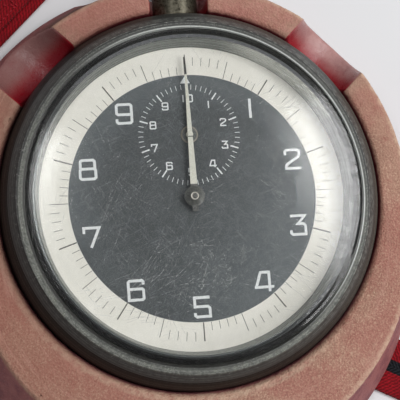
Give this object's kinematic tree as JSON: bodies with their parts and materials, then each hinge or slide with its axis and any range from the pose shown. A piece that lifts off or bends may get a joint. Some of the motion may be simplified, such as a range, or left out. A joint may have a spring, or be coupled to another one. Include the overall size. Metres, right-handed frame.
{
  "type": "mechanical stopwatch",
  "caption": "Round tenth-second stopwatch with a minute register, pendant crown and bow, sitting in a moulded rubber protective case with a striped neck ribbon",
  "frame": {"origin": "middle of the rubber case's flat back, straight under the dial's centre", "axes": "+Z is the dial's outward normal, +Y points to 12 o'clock and the crown, +X is 3 o'clock"},
  "size_m": [0.1573, 0.1784, 0.0195],
  "materials": {
    "rubber": "matte red-brown moulded rubber, faded and soiled on the rim",
    "black_case": "black oxide over metal, worn to grey on the edges",
    "nickel": "nickel plated",
    "steel": "fine ground steel",
    "blued_steel": "heat-blued spring steel",
    "brass": "gilt",
    "crystal": "clear scratched acrylic",
    "dial": "matte paint, cream ring round a grey-black middle",
    "hands": "white paint",
    "ruby": "polished synthetic ruby",
    "ribbon": "woven ribbed ribbon"
  },
  "bodies": {
    "case": {"rubber_case": "rubber", "case_band": "black_case", "case_back": "nickel", "bezel": "black_case", "crystal": "crystal", "tension_ring": "nickel", "pendant": "black_case", "crown_spring": "steel", "dial": "dial", "movement_ring": "nickel", "main_plate": "brass", "barrel_bridge": "nickel", "train_bridge": "nickel", "pallet_bridge": "nickel", "balance_cock": "nickel", "movement_screws": "steel", "case_screws": "steel", "plate_jewels": "ruby", "bridge_jewels": "ruby", "crown_wheel_screw": "steel", "click_spring": "steel", "hairspring": "blued_steel", "intermediate_bridge": "nickel", "column_jumper": "steel", "lanyard_ribbon": "ribbon", "lanyard_end_loops": "ribbon"},
    "bow": {"bow": "nickel"},
    "press": {"push_sleeve": "steel", "actuating_slide": "steel"},
    "crown": {"crown": "nickel", "winding_stem": "steel"},
    "winding": {"winding_pinion": "steel"},
    "crown_wheel": {"crown_wheel": "steel"},
    "ratchet": {"ratchet_wheel": "steel", "barrel_arbor": "steel"},
    "barrel": {"going_barrel": "brass", "barrel_cover": "brass", "mainspring": "blued_steel"},
    "centre": {"centre_wheel": "brass", "centre_pinion": "steel"},
    "third": {"third_wheel": "brass", "third_pinion": "steel"},
    "sweep": {"sweep_wheel": "brass", "sweep_arbor": "steel", "sweep_heart": "steel", "sweep_hand": "hands"},
    "escape": {"escape_wheel": "brass", "escape_pinion": "steel"},
    "fork": {"pallet_fork": "steel", "pallet_stones": "ruby"},
    "balance": {"balance_wheel": "brass", "balance_staff": "steel"},
    "intermediate": {"intermediate_wheel": "brass"},
    "register": {"register_wheel": "brass", "register_heart": "steel", "register_hand": "hands"},
    "column": {"column_wheel": "steel"},
    "hammer": {"reset_hammer": "steel"},
    "brake": {"brake_lever": "steel"}
  },
  "joints": [
    {"name": "crown_press", "type": "slide", "parent": "case", "child": "press", "axis": [0, -1, 0], "range_m": [0, 0.0015], "stiffness_N_per_m": 3000, "springref_m": -0.001, "deforming": ["crown_spring"]},
    {"name": "crown_turn", "type": "hinge", "parent": "press", "child": "crown", "pos_m": [0, 0.0465, 0.007], "axis": [0, 1, 0], "continuous": true, "deforming": ["click_spring", "mainspring"]},
    {"name": "winding_pinion_turn", "type": "hinge", "parent": "case", "child": "winding", "pos_m": [0, 0.0135, 0.007], "axis": [0, 1, 0], "continuous": true},
    {"name": "crown_wheel_turn", "type": "hinge", "parent": "case", "child": "crown_wheel", "pos_m": [0, 0.009, 0.0054], "axis": [0, 0, 1], "continuous": true},
    {"name": "ratchet_turn", "type": "hinge", "parent": "case", "child": "ratchet", "pos_m": [0.00921, 0.00579, 0.0053], "axis": [0, 0, 1], "continuous": true},
    {"name": "bow_swing", "type": "hinge", "parent": "case", "child": "bow", "pos_m": [0, 0.0407, 0.007], "axis": [1, 0, 0], "range_deg": [-90, 90], "deforming": ["lanyard_end_loops"]},
    {"name": "sweep_turn", "type": "hinge", "parent": "case", "child": "sweep", "pos_m": [0, 0, 0.008], "axis": [0, 0, -1], "continuous": true},
    {"name": "third_turn", "type": "hinge", "parent": "case", "child": "third", "pos_m": [0.00264, -0.00386, 0.007], "axis": [0, 0, -1], "continuous": true},
    {"name": "centre_turn", "type": "hinge", "parent": "case", "child": "centre", "pos_m": [0.00921, -0.00321, 0.007], "axis": [0, 0, -1], "continuous": true},
    {"name": "barrel_turn", "type": "hinge", "parent": "case", "child": "barrel", "pos_m": [0.00921, 0.00579, 0.007], "axis": [0, 0, -1], "continuous": true},
    {"name": "escape_turn", "type": "hinge", "parent": "case", "child": "escape", "pos_m": [-0.0044, -0.0016, 0.007], "axis": [0, 0, -1], "continuous": true},
    {"name": "intermediate_turn", "type": "hinge", "parent": "case", "child": "intermediate", "pos_m": [0.00108, 0.00492, 0.011], "axis": [0, 0, -1], "continuous": true},
    {"name": "register_turn", "type": "hinge", "parent": "case", "child": "register", "pos_m": [0, 0.0106, 0.011], "axis": [0, 0, -1], "continuous": true},
    {"name": "fork_swing", "type": "hinge", "parent": "case", "child": "fork", "pos_m": [-0.00734, -0.00297, 0.0065], "axis": [0, 0, 1], "range_deg": [-3, 3]},
    {"name": "balance_swing", "type": "hinge", "parent": "case", "child": "balance", "pos_m": [-0.01115, -0.00475, 0.0055], "axis": [0, 0, 1], "range_deg": [-270, 270], "stiffness_Nm_per_rad": 0.000004, "deforming": ["hairspring"]},
    {"name": "column_turn", "type": "hinge", "parent": "case", "child": "column", "pos_m": [-0.0105, 0.0133, 0.011], "axis": [0, 0, 1], "continuous": true, "deforming": ["column_jumper"]},
    {"name": "hammer_swing", "type": "hinge", "parent": "case", "child": "hammer", "pos_m": [-0.0042, 0.0154, 0.0119], "axis": [0, 0, 1], "range_deg": [0, 4.5]},
    {"name": "brake_swing", "type": "hinge", "parent": "case", "child": "brake", "pos_m": [-0.016, 0.0065, 0.0113], "axis": [0, 0, 1], "range_deg": [0, 4.15]}
  ],
  "couplings": [
    {"joint": "winding_pinion_turn", "follows": "crown_turn", "ratio": 1},
    {"joint": "crown_wheel_turn", "follows": "crown_turn", "ratio": 0.33333},
    {"joint": "ratchet_turn", "follows": "crown_turn", "ratio": -0.22222},
    {"joint": "third_turn", "follows": "sweep_turn", "ratio": -0.13333},
    {"joint": "centre_turn", "follows": "sweep_turn", "ratio": 0.013333},
    {"joint": "barrel_turn", "follows": "sweep_turn", "ratio": -0.0016667},
    {"joint": "escape_turn", "follows": "sweep_turn", "ratio": -3.3333},
    {"joint": "intermediate_turn", "follows": "sweep_turn", "ratio": -0.125},
    {"joint": "register_turn", "follows": "sweep_turn", "ratio": 0.016667}
  ]
}
